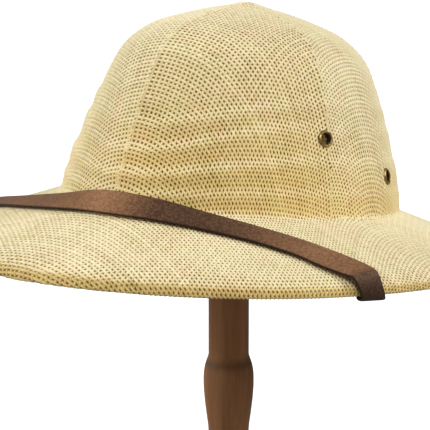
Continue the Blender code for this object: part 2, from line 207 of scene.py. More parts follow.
STRAW_SIDES = (
    # degrees from the front to the wearer's left, how much of the crown's painted gold shows
    # higher up and at its foot, how much lighter the crown's foot and the brim are painted:
    # painted light and shade by side
    (-60, 0.5, 0.6, 0.0, -0.045), (-8, 0.55, 0.65, 0.0, -0.035),
    (6, 1.0, 1.0, 0.0, -0.01), (60, 1.0, 1.0, -0.01, 0.01),
    (78, 0.45, 0.9, -0.05, 0.03), (110, 0.35, 0.85, -0.05, 0.04),
    (180, 0.5, 0.7, -0.02, 0.0),
)
FOOT_LIGHT = (0.8, 0.9, 0.98, 1.02)  # the painted light at the crown's foot comes and goes here
FOOT_GOLD = (0.78, 0.98)  # and from the crown's upper painted gold to its foot's here
BRIM_LIGHT = (1.0, 1.1)  # the brim's painted light, and all of its painted gold, come in here
BRIM_GOLD = (1.0, 1.04)
# colours of the painted shade at the bottom of the gaps between the yarns
PAINTED_GAP_DARK, PAINTED_GAP_LIGHT = (0.075, 0.038, 0.007), (0.135, 0.073, 0.015)

rng = np.random.default_rng(7)


def vector(numbers):
    return Vector([float(number) for number in numbers])


def outline_radius(q):
    """Share of the crown's radius at a share q of its height, as a smooth curve."""
    heights, r = np.array(CROWN_OUTLINE).T
    t = np.arcsin(heights)
    step = np.diff(t)
    slope = np.diff(r) / step
    m = np.empty_like(r)
    m[0], m[-1] = slope[0], slope[-1]
    w1 = 2 * step[1:] + step[:-1]
    w2 = step[1:] + 2 * step[:-1]
    m[1:-1] = (w1 + w2) / (w1 / slope[:-1] + w2 / slope[1:])
    x = np.arcsin(np.clip(q, 0.0, 1.0))
    i = np.clip(np.searchsorted(t, x, side="right") - 1, 0, len(step) - 1)
    u = (x - t[i]) / step[i]
    return ((1 + 2 * u) * (1 - u) ** 2 * r[i] + u * (1 - u) ** 2 * step[i] * m[i]
            + u * u * (3 - 2 * u) * r[i + 1] + u * u * (u - 1) * step[i] * m[i + 1])


def oval_radius(angle):
    r = 1.0 / np.hypot(np.sin(angle) / (CROWN_WIDTH / 2), np.cos(angle) / (CROWN_LENGTH / 2))
    return r * (1 - CROWN_EGG * np.cos(angle) * np.sin(angle) ** 2)


def wave(parts, angle):
    return sum(part * np.cos(i * angle) for i, part in enumerate(parts))


def rib_height(rib, angle):
    end, corner, side = rib[:3]
    bow = ((end + side) / 2 - corner) / 2
    return ((end + side) / 2 - bow + (end - side) / 2 * np.cos(2 * angle)
            + bow * np.cos(4 * angle))


def flatness(angle, height):
    """1 on the open crown, falling to 0 where an eyelet presses the straw flat."""
    flat = 1.0
    for at, up in EYELETS:
        for side in (at, tau - at):
            turn = np.abs((angle - side + pi) % tau - pi)
            away = np.hypot(turn * CROWN_WIDTH / 2, height - up)
            flat = flat * (1 - np.exp(-(away / EYELET_FLAT) ** 2))
    return flat


def rib_profile(angle, height):
    """How far the pressed ribs push the crown's wall out at a height."""
    knots = [rib_height(RIBS[0], angle) + RIB_STEP / 2 + RIB_FADE]
    pushes = [0.0 * angle]
    for i, rib in enumerate(RIBS):
        step = rib_height(rib, angle)
        below = rib_height(RIBS[i + 1], angle) if i + 1 < len(RIBS) else 0.0 * angle
        front, side, back = rib[3:]
        push = ((front + back) / 4 + side / 2 + (front - back) / 2 * np.cos(angle)
                + ((front + back) / 4 - side / 2) * np.cos(2 * angle))
        push = push * flatness(angle, step)
        knots += [step + RIB_STEP / 2, step - RIB_STEP / 2, (step + below) / 2]
        pushes += [-RIB_TUCK * push, push, RIB_REST * push]
    out = np.zeros_like(height)
    for top, low, a, b in zip(knots, knots[1:], pushes, pushes[1:]):
        x = np.clip((top - height) / (top - low), 0.0, 1.0)
        inside = (height <= top) & (height > low)
        out = np.where(inside, a + (b - a) * (1 - np.cos(pi * x)) / 2, out)
    last = np.clip(height / knots[-1], 0.0, 1.0) * pushes[-1]
    return np.where(height <= knots[-1], last, out)


def ridge_push(angle, radius, height):
    """How far the nearest ridge pushes the crown's wall out."""
    off = np.abs((angle + PANEL_TURN / 2) % PANEL_TURN - PANEL_TURN / 2) * radius
    start, length = RIDGE_RISE
    fade = np.clip((height - start) / length, RIDGE_LEAST, 1.0)
    return (RIDGE_HEIGHT * fade * np.minimum(1.0, radius / RIDGE_TOP)
            * np.exp(-off / RIDGE_SPREAD))


def crown_surface(angle, height, pressed=True):
    """Points of the crown; it has no ribs and no nub where it isn't pressed."""
    q = height / CROWN_HEIGHT
    radius = oval_radius(angle) * outline_radius(q)
    ribs = rib_profile(angle, height) if pressed else 0.0
    nub = NUB_HEIGHT * np.exp(-(radius / NUB_RADIUS) ** 2) if pressed else 0.0
    out = radius + ribs + ridge_push(angle, radius, height)
    swell = CROWN_SWELL * np.sin(pi * q)
    return np.stack([out * np.sin(angle), -out * np.cos(angle) + swell, height + nub], -1)


def brim_drop(angle, share):
    bow = wave(BRIM_BOW, angle)
    return wave(BRIM_DROP, angle) * (bow * share + (1 - bow) * share * share)


def brim_surface(angle, share, lower=0.0, inward=0.0):
    out = oval_radius(angle) + wave(BRIM_WIDTH, angle) * share - inward
    return np.stack([out * np.sin(angle), -out * np.cos(angle), -brim_drop(angle, share) - lower], -1)


# heights on the crown against the length of cloth from the top, on its mean section
SECTION_HIGH = CROWN_HEIGHT * np.cos(np.linspace(0.0, pi / 2, 801))
section_wide = (CROWN_LENGTH + CROWN_WIDTH) / 4 * outline_radius(SECTION_HIGH / CROWN_HEIGHT)
section_steps = np.hypot(np.diff(section_wide), np.diff(SECTION_HIGH))
SECTION_RUN = np.concatenate([[0.0], np.cumsum(section_steps)])
SECTION_RUN /= SECTION_RUN[-1]


def sharp_form(place, angle):
    """Points of the helmet's outer surface, its creases still sharp."""
    angle = np.where(place < 0, angle + pi, angle)
    place = np.abs(place)
    crown = crown_surface(angle, np.interp(place, SECTION_RUN, SECTION_HIGH))
    # the brim reaches its full width just past the turn of the lip
    share = np.interp(place, (1.0, LIP_PLACE - 0.01, LIP_PLACE + 0.008), (0.0, 0.985, 1.0))
    sag_place, sag = BRIM_SAG
    down = np.clip((place - LIP_PLACE) / (2 - LIP_PLACE), 0, 1)
    lower = np.where(place < LIP_PLACE, np.interp(place, (sag_place, LIP_PLACE), (0.0, sag)),
                     sag + (wave(LIP, angle) - HEM_ROLL - sag) * down)
    roll = np.clip((place - 2.0) / (HEM_PLACE - 2.0), 0.0, 1.0) * HEM_TURN
    brim = brim_surface(angle, share, lower + HEM_ROLL * np.sin(roll),
                        HEM_ROLL * (1 - np.cos(roll)))
    return np.where((place < 1.0)[..., None], crown, brim)


def form(place, angle):
    """Points of the helmet's outer surface, rounded as cloth rounds a crease."""
    ends = (-1.0, 1.0, 3.0)
    runs = (-CROWN_RUN, CROWN_RUN, CROWN_RUN + 2 * BRIM_RUN)
    run = np.interp(place, ends, runs)
    # the lip's end is rounded less
    step = CREASE_ROUND / 2 * np.interp(place, (LIP_PLACE, 2.0), (1.0, 0.3))
    total = 0.0
    for shift, weight in ((-2, 1), (-1, 2), (0, 3), (1, 2), (2, 1)):
        total = total + weight / 9 * sharp_form(np.interp(run + shift * step, runs, ends), angle)
    return total


# threads of the flat cloth from the top out to a place
PLACES = np.linspace(0.0, HEM_PLACE + 0.1, 1001)
CLOTH_PLACE, CLOTH_PITCH, CLOTH_PULL, CLOTH_TWIST = np.array(CLOTH).T
pitch = np.interp(PLACES, CLOTH_PLACE, CLOTH_PITCH)
metres = np.where(PLACES < 1.0, CROWN_RUN, BRIM_RUN)
thread_steps = (pitch[1:] + pitch[:-1]) / 2 * 1000 * np.diff(PLACES) * metres[1:]
THREAD_COUNT = np.concatenate([[0.0], np.cumsum(thread_steps)])
THREADS = int(ceil(THREAD_COUNT[-1])) + 1


def pulled_in(place, angle):
    """Share of its distance that a thread keeps where the cloth is pulled in."""
    return 1 - np.interp(place, CLOTH_PLACE, CLOTH_PULL) * (1 - np.cos(4 * angle)) / 2


def twisted(place, angle):
    return np.interp(place, CLOTH_PLACE, CLOTH_TWIST) * np.sin(4 * angle) / 4


def cloth_place(u, v):
    """Place and angle on the form of a point of the flat cloth, in threads."""
    far, turn = np.hypot(u, v), np.arctan2(v, u)
    angle, place = turn, np.interp(far, THREAD_COUNT, PLACES)
    for _ in range(16):
        angle = turn + twisted(place, angle)
        place = np.interp(far / pulled_in(place, angle), THREAD_COUNT, PLACES)
    return place, angle


def cloth_threads(place, angle):
    """The other way: the point of the flat cloth at a place and angle on the form."""
    far = np.interp(place, PLACES, THREAD_COUNT) * pulled_in(place, angle)
    turn = angle - twisted(place, angle)
    return np.stack([far * np.cos(turn), far * np.sin(turn)], -1)


def turned(u, v, grain):
    """The same point of the cloth where the cloth is turned by an angle on the form."""
    return (u * cos(grain) + v * sin(grain), v * cos(grain) - u * sin(grain))


def cloth_point(u, v, grain):
    place, angle = cloth_place(*turned(u, v, grain))
    return form(np.minimum(place, HEM_PLACE), angle)


def surface_frame(angle, height, reach=0.006):
    """A frame on the crown: +Z out of the surface, +Y up along it."""
    def point(turn, rise):
        return vector(crown_surface(angle + turn, height + rise, pressed=False))

    step = reach / oval_radius(angle)
    up = (point(0.0, reach) - point(0.0, -reach)).normalized()
    along = (point(step, 0.0) - point(-step, 0.0)).normalized()
    out = along.cross(up).normalized()
    up = out.cross(along).normalized()
    return Matrix((*zip(along, up, out, point(0.0, 0.0)), (0, 0, 0, 1)))


# eyelet middles and directions, in the helmet's frame
EYELET_FRAMES = [
    (f"eyelet_{row}_{side}", surface_frame(angle, up))
    for row, (at, up) in (("front", EYELETS[0]), ("rear", EYELETS[1]))
    for side, angle in (("left", at), ("right", tau - at))
]


def moved(points, matrix):
    m = np.array(matrix)
    return points @ m[:3, :3].T + m[:3, 3]


def from_eyelet(points, eye):
    """Distances from an eyelet's axis, or 1 for what is nowhere near its plane."""
    rel = moved(points, eye.inverted())
    return np.where(np.abs(rel[:, 2]) < EYELET_REACH, np.hypot(rel[:, 0], rel[:, 1]), 1.0)


def add_values(mesh, name, values):
    layer = mesh.attributes.new(name, "FLOAT", "POINT")
    layer.data.foreach_set("value", np.asarray(values, dtype=np.float32).ravel())


def add_object(name, data):
    made = bpy.data.objects.new(name, data)
    bpy.context.scene.collection.objects.link(made)
    return made


def mesh_object(name, verts, faces, mat, uvs=(), values=()):
    """A smooth mesh piece. uvs are (name, per-vertex uv), values (name, per-vertex)."""
    mesh = bpy.data.meshes.new(name)
    faces = np.asarray(faces, dtype=np.int32)
    mesh.vertices.add(len(verts))
    mesh.vertices.foreach_set("co", np.asarray(verts, dtype=np.float32).ravel())
    mesh.loops.add(faces.size)
    mesh.loops.foreach_set("vertex_index", faces.ravel())
    mesh.polygons.add(len(faces))
    mesh.polygons.foreach_set("loop_start", np.arange(len(faces), dtype=np.int32) * faces.shape[1])
    mesh.update(calc_edges=True)
    mesh.validate()
    mesh.shade_smooth()
    for uv_name, uv in uvs:
        layer = mesh.uv_layers.new(name=uv_name)
        layer.uv.foreach_set("vector", np.asarray(uv, dtype=np.float32)[faces.ravel()].ravel())
    for value_name, value in values:
        add_values(mesh, value_name, value)
    mesh.materials.append(mat)
    mesh.update()
    return add_object(name, mesh)


def grid_faces(index):
    """The faces of a grid of vertex numbers, row by row."""
    corners = index[:-1, :-1], index[:-1, 1:], index[1:, 1:], index[1:, :-1]
    return np.stack(corners, -1).reshape(-1, 4)


def face_outward(mesh, close=False):
    """Turns a mesh's faces outward, once its open ends are closed if need be."""
    bm = bmesh.new()
    bm.from_mesh(mesh)
    if close:
        bmesh.ops.holes_fill(bm, edges=[e for e in bm.edges if e.is_boundary], sides=0)
    bmesh.ops.recalc_face_normals(bm, faces=bm.faces)
    bm.to_mesh(mesh)
    bm.free()


# ---- materials
class Nodes:
    """Adds nodes to a material's or world's tree. What adds one gives back its output."""

    def __init__(self, owner):
        owner.use_nodes = True
        self.owner, self.tree = owner, owner.node_tree

    def feed(self, sockets, values):
        """Gives each named or numbered socket its value, or the output that drives it."""
        for key, value in values.items():
            if isinstance(value, bpy.types.NodeSocket):
                self.tree.links.new(value, sockets[key])
            else:
                sockets[key].default_value = value

    def shade(self, values, shader="Principled BSDF"):
        """Feeds the shader, and gives back the material or world."""
        self.feed(self.tree.nodes[shader].inputs, values)
        return self.owner

    def add(self, kind, output=0, values=(), **settings):
        made = self.tree.nodes.new("ShaderNode" + kind)
        for key, value in settings.items():
            setattr(made, key, value)
        self.feed(made.inputs, dict(values))
        return made.outputs[output]

    def maths(self, operation, *values):
        return self.add("Math", 0, enumerate(values), operation=operation)

    def mix(self, share, first, second, blend="MIX"):
        return self.add("Mix", 2, {0: share, 6: first, 7: second}, data_type="RGBA", blend_type=blend)

    def ramp(self, share, *stops):
        """A colour, or a grey for a single number, from (position, colour) stops."""
        made = self.add("ValToRGB", "Color", {"Fac": share})
        ends = made.node.color_ramp.elements
        while len(ends) < len(stops):
            ends.new(0.5)
        for end, (at, colour) in zip(ends, stops):
            end.position = at
            end.color = (*np.broadcast_to(colour, 3).tolist(), 1.0)
        return made

    def place(self):
        return self.add("TexCoord", "Object")

    def noise(self, *values):
        """From a place, scale and detail, and a roughness and distortion if they differ."""
        sockets = ("Vector", "Scale", "Detail", "Roughness", "Distortion")
        return self.add("TexNoise", "Fac", zip(sockets, values))

    def attribute(self, name):
        return self.add("Attribute", "Fac", attribute_name=name)

    def parts(self, place):
        return self.add("SeparateXYZ", 0, {0: place}).node.outputs

    def bump(self, *values):
        """From a height, a strength and a distance."""
        return self.add("Bump", "Normal", zip(("Height", "Strength", "Distance"), values))


def new_material(name):
    return Nodes(bpy.data.materials.new(name))


def straw_material():
    nodes = new_material("straw_cloth")
    place = nodes.place()
    clouded = nodes.noise(place, 28.0, 3.0, 0.55)
    # the tone attribute holds random tone and the painted light and shade
    tone = nodes.maths("MULTIPLY_ADD", clouded, 0.3, nodes.attribute("tone"))
    colour = nodes.ramp(tone, (0.15, (0.27, 0.17, 0.055)), (0.42, (0.61, 0.465, 0.23)),
                        (0.68, (0.87, 0.745, 0.47)), (1.0, (0.94, 0.84, 0.58)))
    # painted light: the painted gold tints the straw golden where it doesn't face up
    golden = nodes.mix(nodes.attribute("gold"), colour, STRAW_PAINTED_GOLD_TINT, "MULTIPLY")
    hue = nodes.ramp(nodes.noise(place, 75.0, 2.0, 0.6),
                     (0.36, (0.965, 0.995, 0.915)), (0.64, (1.0, 0.965, 0.935)))
    # the yarn's fibres are twisted, with two turns for each crossing yarn
    yarn = nodes.parts(nodes.add("UVMap", "UV", uv_map="yarn"))
    slant = nodes.maths("MULTIPLY", yarn["Y"], 1.9)
    lay = nodes.maths("SINE", nodes.maths("MULTIPLY_ADD", yarn["X"], 4.0 * pi, slant))
    relief = nodes.maths("ADD", lay, nodes.noise(place, 1400.0, 2.0))
    return nodes.shade({
        "Base Color": nodes.mix(1.0, golden, hue, "MULTIPLY"),
        "Normal": nodes.bump(relief, 0.35, 0.00012),
        "Roughness": 0.62, "Specular IOR Level": 0.2, "Sheen Weight": 0.3,
        "Sheen Roughness": 0.4, "Sheen Tint": (0.97, 0.98, 0.95, 1.0),
    })


def leather_material():
    nodes = new_material("brown_leather")
    place = nodes.place()
    fine = nodes.noise(place, 750.0, 2.0, 0.6)
    pores = nodes.add("TexVoronoi", "Distance", {"Vector": place, "Scale": 1500.0}, feature="F1")
    # painted shadow: the strap's edges are painted near-black
    edge = nodes.attribute("edge")
    # painted light and shade along the strap, from its shade values
    painted_shading = nodes.maths("MULTIPLY_ADD", nodes.attribute("shade"), 0.95, -0.22)
    clouded = nodes.maths("MULTIPLY_ADD", nodes.noise(place, 45.0, 4.0, 0.6), 0.25, painted_shading)
    speckled = nodes.maths("MULTIPLY_ADD", nodes.ramp(fine, (0.4, 0.0), (0.6, 1.0)), 0.24, clouded)
    colour = nodes.ramp(nodes.maths("MULTIPLY_ADD", edge, -0.35, speckled),
                        (0.05, (0.044, 0.024, 0.013)), (0.28, (0.086, 0.042, 0.024)),
                        (0.62, (0.205, 0.102, 0.049)), (1.0, (0.4, 0.198, 0.102)))
    return nodes.shade({
        "Base Color": nodes.mix(edge, colour, (0.026, 0.014, 0.007, 1.0)),
        "Normal": nodes.bump(nodes.maths("MULTIPLY_ADD", pores, 0.9, fine), 0.55, 0.00018),
        "Roughness": nodes.ramp(fine, (0.2, 0.36), (0.8, 0.58)), "Specular IOR Level": 0.1,
    })


def brass_material():
    nodes = new_material("antique_brass")
    stain = nodes.noise(nodes.place(), 420.0, 4.0, 0.65)
    # painted shade inside the hole: painted dark, made rough and not metal there
    painted_shade = nodes.attribute("painted_shade")
    colour = nodes.ramp(stain, (0.3, (0.12, 0.072, 0.02)), (0.52, (0.3, 0.205, 0.065)),
                        (0.75, (0.56, 0.42, 0.16)))
    return nodes.shade({
        "Base Color": nodes.mix(painted_shade, colour, (0.04, 0.014, 0.007, 1.0)),
        "Normal": nodes.bump(stain, 0.25, 0.00006),
        "Roughness": nodes.maths("MAXIMUM", nodes.ramp(stain, (0.3, 0.52), (0.7, 0.3)), painted_shade),
        "Metallic": nodes.maths("SUBTRACT", 1.0, painted_shade), "Specular IOR Level": 0.2,
    })


def wood_material():
    nodes = new_material("dark_stained_wood")
    stretched = nodes.add("Mapping", 0, {"Vector": nodes.place(), "Scale": (1.0, 1.0, 0.07)})
    grain = nodes.noise(stretched, 520.0, 5.0, 0.62, 0.3)
    figure = nodes.maths("MULTIPLY", grain, 0.4)
    figure = nodes.maths("MULTIPLY_ADD", nodes.noise(stretched, 95.0, 3.0), 0.6, figure)
    colour = nodes.ramp(figure, (0.34, (0.205, 0.091, 0.036)), (0.5, (0.268, 0.124, 0.052)),
                        (0.68, (0.335, 0.16, 0.072)))
    return nodes.shade({
        # painted shade in the hollow over the post's swelling
        "Base Color": nodes.mix(nodes.attribute("painted_shade"), colour, (0.07, 0.048, 0.024, 1.0)),
        "Normal": nodes.bump(grain, 0.2, 0.0001),
        "Roughness": 0.55, "Specular IOR Level": 0.06,
    })


def gap_shade_material():
    """The cloth at the bottom of the gaps between the yarns, painted dark as painted shade."""
    nodes = new_material("straw_cloth_gap_shade")
    cloud = nodes.noise(nodes.place(), 330.0, 2.0, 0.6)
    return nodes.shade({
        "Base Color": nodes.ramp(cloud, (0.3, PAINTED_GAP_DARK), (0.7, PAINTED_GAP_LIGHT)),
        "Roughness": 0.8, "Specular IOR Level": 0.1,
    })


def inside_material():
    """The inner face of the cloth: the same plain weave, from its threads' own map. It is painted
    dark as the shade inside the helmet, and darkest between its threads as painted shade.
    """
    nodes = new_material("straw_cloth_inside")
    threads = nodes.parts(nodes.add("UVMap", "UV", uv_map="threads"))
    waves = [nodes.maths("SINE", nodes.maths("MULTIPLY", threads[axis], pi))
             for axis in ("X", "Y")]
    relief = nodes.maths("MAXIMUM", *[nodes.maths("ABSOLUTE", wave_out) for wave_out in waves])
    tone = nodes.maths("MULTIPLY_ADD", nodes.noise(nodes.place(), 60.0, 3.0), 0.25, relief)
    return nodes.shade({
        "Base Color": nodes.ramp(tone, (0.5, PAINTED_GAP_LIGHT), (0.78, (0.34, 0.235, 0.1)),
                                 (1.0, (0.56, 0.43, 0.22))),
        "Normal": nodes.bump(relief, 0.8, 0.0005),
        "Roughness": 0.7, "Specular IOR Level": 0.2,
    })


straw = straw_material()
straw_gap_shade = gap_shade_material()
straw_inside = inside_material()
leather = leather_material()
brass = brass_material()
wood = wood_material()


# ---- woven straw
def segments(place, angle, panel):
    """Which segments of the lanes belong to a panel, or to the brim for no panel.

    A segment joins two stations of a lane. It belongs where its upper end is.
    """
    upper = np.minimum(place[:, :-1], place[:, 1:])
    lower = np.maximum(place[:, :-1], place[:, 1:])
    on_panel = (angle % tau // PANEL_TURN).astype(int) % RIDGES
    if panel is None:
        # under a panel with a turned grain the brim's yarns begin a little higher
        seam = (np.array(PANELS)[on_panel[:, 1:], 0] != 0) & (lower >= 1.0)
        return (upper < HEM_PLACE) & ((upper >= 1.0) | seam)
    # the yarns of two panels overlap at the ridge between them
    member = on_panel == panel
    member[:, 1:-1] |= member[:, :-2] | member[:, 2:]
    return (upper < 1.0) & member[:, :-1] & member[:, 1:]


def straw_look(place, angle, facing, lighter):
    """How light and how golden the straw is painted, from its place and how far it faces up: painted
    light and shade.
    """
    shading_place, shading_gold, shading_light = np.array(STRAW_PAINTED_SHADING).T
    side_angle, *columns = np.array(STRAW_SIDES).T
    upper, foot, foot_light, brim_light = (
        np.interp(np.degrees(angle), side_angle, column, period=360) for column in columns)
    light = np.interp(place, shading_place, shading_light) + lighter
    light = light + foot_light * np.interp(place, FOOT_LIGHT, (0, 1, 1, 0))
    light = light + brim_light * np.interp(place, BRIM_LIGHT, (0, 1))
    share = upper + (foot - upper) * np.interp(place, FOOT_GOLD, (0.0, 1.0))
    share = share + (1 - share) * np.interp(place, BRIM_GOLD, (0.0, 1.0))
    gold = np.interp(facing, *np.array(STRAW_PAINTED_GOLD).T) * share
    return light, gold * np.interp(place, shading_place, shading_gold)


def yarns(run, panel):
    """Yarns of one family over one panel of the crown, or over the brim for no panel.

    Each yarn is an arched strip that passes over and under the crossing yarns. Returns
    their faces and, in one row for each vertex, its point, place on the bake's map,
    place along and across the yarn, tone with its painted light and shade, and painted gold.
    """
    turn, wide, lighter = BRIM_PANEL if panel is None else PANELS[panel]
    grain = radians(turn)
    halves = np.arange(-2 * THREADS, 2 * THREADS + 1) / 2
    lane, way = np.meshgrid(np.arange(-THREADS, THREADS) + 0.5, halves, indexing="ij")
    u, v = (way, lane) if run == 0 else (lane, way)
    on_form = turned(u, v, grain)
    near = np.ones(u.shape, dtype=bool)
    map_shift = (0.0, 0.0)
    if panel is not None:
        middle = (panel + 0.5) * PANEL_TURN
        off = np.arctan2(on_form[1], on_form[0]) % tau - middle
        near = np.abs((off + pi) % tau - pi) < PANEL_REACH
        # the panels lie a little apart on the bake's map, as their edges overlap
        map_shift = (MAP_APART * cos(middle), MAP_APART * sin(middle))
    place, angle = np.full(u.shape, 9.0), np.zeros(u.shape)  # 9 is past every place
    place[near], angle[near] = cloth_place(on_form[0][near], on_form[1][near])
    seg = segments(place, angle, panel) & near[:, :-1] & near[:, 1:]
    need = np.zeros(u.shape, dtype=bool)
    need[:, :-1] |= seg
    need[:, 1:] |= seg
    index = np.full(u.shape, -1)
    index[need] = np.arange(need.sum())
    u, v, lane, way, place, angle = (grid[need] for grid in (u, v, lane, way, place, angle))

    centre = cloth_point(u, v, grain)
    h = 0.2
    du = (cloth_point(u + h, v, grain) - cloth_point(u - h, v, grain)) / (2 * h)
    dv = (cloth_point(u, v + h, grain) - cloth_point(u, v - h, grain)) / (2 * h)
    normal = np.cross(dv, du)
    area = np.linalg.norm(normal, axis=1)
    normal /= np.maximum(area, 1e-12)[:, None]
    outward = (normal * (centre - np.array([0, 0, 0.03]))).sum(1)
    normal *= np.where(np.median(outward) < 0, -1.0, 1.0)
    tangent = du if run == 0 else dv
    length = np.linalg.norm(tangent, axis=1)
    across = np.cross(normal, tangent / length[:, None])
    fill_place, *fills = np.array(YARN_FILL).T
    fill = np.interp(place, fill_place, fills[run])
    half = 0.5 * wide * fill * np.clip(area / length, *YARN_SPACING)
    light, gold = straw_look(place, angle, normal[:, 2], lighter)

    # over and under: the crossings lie half way between whole threads
    crossing = np.abs(way - np.round(way)) > 0.25
    over = (np.floor(way) + np.floor(lane)) % 2 == run
    swing = np.where(crossing, np.where(over, 1.0, -1.0), 0.0) * YARN_SWING
    deep = swing - CLOTH_DEEP - YARN_SINK[run]
    lane_id = (lane + THREADS).astype(int)
    lane_tone = rng.normal(0.0, LANE_TONE, 2 * THREADS + 1)[lane_id]
    lane_wide = 1.0 + rng.normal(0.0, LANE_WIDTH, 2 * THREADS + 1)[lane_id]
    wobble = rng.normal(0.0, STATION_TONE, len(way))
    shift = rng.normal(0.0, STATION_SHIFT, len(way))
    half = half * lane_wide * (1 + wobble)

    rows = []
    # across each yarn: painted shade and gold on its edges, a painted highlight on its middle
    for side, rise, brighter, gilt in YARN_SECTION:
        points = (centre + across * (side * half + shift)[:, None]
                  + normal * (deep + rise * YARN_CROWN)[:, None])
        lane_uv = lane + side * YARN_MAP
        flat = turned(*((way, lane_uv) if run == 0 else (lane_uv, way)), grain)
        tones = YARN_TONE[run] + lane_tone + light + brighter + wobble
        rows.append(np.column_stack([points, np.stack(flat, -1) + map_shift, way,
                                     np.full_like(way, side), tones, gold * gilt]))
    # leave out what an eyelet's barrel takes
    for _, eye in EYELET_FRAMES:
        taken = np.zeros(need.shape, dtype=bool)
        taken[need] = from_eyelet(centre, eye) < EYELET_BARREL + YARN_ROOM
        seg &= ~(taken[:, :-1] | taken[:, 1:])
    i0, i1 = index[:, :-1][seg], index[:, 1:][seg]
    faces = []
    for k in (0, 1):
        quad = np.stack([i0 * 3 + k, i1 * 3 + k, i1 * 3 + k + 1, i0 * 3 + k + 1], -1)
        faces.append(quad if run == 0 else quad[:, ::-1])
    return np.concatenate(faces), np.stack(rows, 1).reshape(-1, 9)


def straw_piece(name, verts, *parts):
    made = mesh_object(name, moved(verts, HAT_MATRIX), *parts)
    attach(made, "root")
    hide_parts("straw_shell")


def weave(name, run, crown_part):
    """One family of yarns over the crown or the brim: run 0 is along u, 1 along v."""
    faces, rows, start = [], [], 0
    for panel in range(RIDGES) if crown_part else (None,):
        quads, values = yarns(run, panel)
        faces.append(quads + start)
        rows.append(values)
        start += len(values)
    used, faces = np.unique(np.concatenate(faces), return_inverse=True)
    verts, flat, yarn, tone, gold = np.split(np.concatenate(rows)[used], (3, 5, 7, 8), axis=1)
    low, high = flat.min(0), flat.max(0)
    flat = MAP_EDGE + (1 - 2 * MAP_EDGE) * (flat - low) / (high - low).max()
    straw_piece(name, verts, faces.reshape(-1, 4), straw, (("OFBake", flat), ("yarn", yarn)),
                (("tone", tone), ("gold", gold)))


for label, run in (("warp", 0), ("weft", 1)):
    weave(f"straw_crown_{label}", run, True)
    weave(f"straw_brim_{label}", run, False)


HOLE_PARTS = 6  # each face beside an eyelet is cut into 6 by 6
HOLE_BORDER = 0.0025  # faces this far outside its rim are cut so
HOLE_LAP = 0.0001  # they reach this far into its barrel
MAP_ROOM = 2.02  # width of the bake's map over the close cloth's radius
FACE_ROWS = (
    # place, rows per 100 mm of cloth up to the next place
    (0.0, 58), (0.955, 260), (1.06, 52), (LIP_PLACE - 0.04, 240), (HEM_PLACE, 0),
)


def pierced(verts, faces, flat, threads):
    """The same face, cut finer beside each eyelet and open inside its barrel."""
    values = np.concatenate([verts, flat, threads], -1).reshape(-1, 7)
    share = np.arange(HOLE_PARTS + 1) / HOLE_PARTS
    b, a = np.meshgrid(share, share, indexing="ij")
    weights = np.stack([(1 - a) * (1 - b), a * (1 - b), a * b, (1 - a) * b], -1).reshape(-1, 4)
    cells = grid_faces(np.arange(a.size).reshape(a.shape))
    for _, eye in EYELET_FRAMES:
        middles = values[faces].mean(1)[:, :3]
        near = from_eyelet(middles, eye) < EYELET_RADIUS + HOLE_BORDER
        fine = np.einsum("kc,fcd->fkd", weights, values[faces[near]])
        index = len(values) + np.arange(near.sum())[:, None, None] * len(weights) + cells[None]
        values = np.vstack([values, fine.reshape(-1, 7)])
        small = index.reshape(-1, 4)
        middles = values[small].mean(1)[:, :3]
        small = small[from_eyelet(middles, eye) > EYELET_BARREL - HOLE_LAP]
        faces = np.vstack([faces[~near], small])
    used, faces = np.unique(faces, return_inverse=True)
    return (*np.split(values[used], (3, 5), axis=1), faces.reshape(-1, 4))


def cloth_face(name, deep, fine, columns, mat, outside):
    """One face of the close cloth between the yarns, a depth under the outer surface."""
    place = []
    for (start, rate), (end, _) in zip(FACE_ROWS, FACE_ROWS[1:]):
        run = (end - start) * (CROWN_RUN if end <= 1.0 else BRIM_RUN)
        place.append(np.linspace(start, end, max(2, round(run * rate * 10 * fine)), endpoint=False))
    place = np.append(np.concatenate(place), HEM_PLACE)
    pp, aa = np.meshgrid(place, np.linspace(0.0, tau, columns + 1), indexing="ij")
    h = 1e-3
    centre = form(pp, aa)
    along = form(pp + h, aa) - form(pp - h, aa)
    around = form(pp, aa + h) - form(pp, aa - h)
    normal = np.cross(around, along)
    normal[0] = (0.0, 0.0, -1.0)
    normal /= np.maximum(np.linalg.norm(normal, axis=-1), 1e-12)[..., None]
    points = centre + normal * deep
    # the two ends of the turn are one line, and the first row is one point
    points[:, -1] = points[:, 0]
    points[0] = points[0].mean(0)
    flat = np.stack([pp * np.cos(aa), pp * np.sin(aa)], -1) / (MAP_ROOM * HEM_PLACE) + 0.5
    faces = grid_faces(np.arange(pp.size).reshape(pp.shape))
    if outside:
        faces = faces[:, [0, 3, 2, 1]]
    verts, flat, threads, faces = pierced(points, faces, flat, cloth_threads(pp, aa))
    straw_piece(name, verts, faces, mat, (("OFBake", flat), ("threads", threads)))


# a dark sheet of painted shade, seen at the bottom of the gaps between the yarns
cloth_face("straw_gap_shade", GROUND_DEEP, 1.0, 200, straw_gap_shade, True)
cloth_face("straw_inside", WALL, 0.8, 180, straw_inside, False)


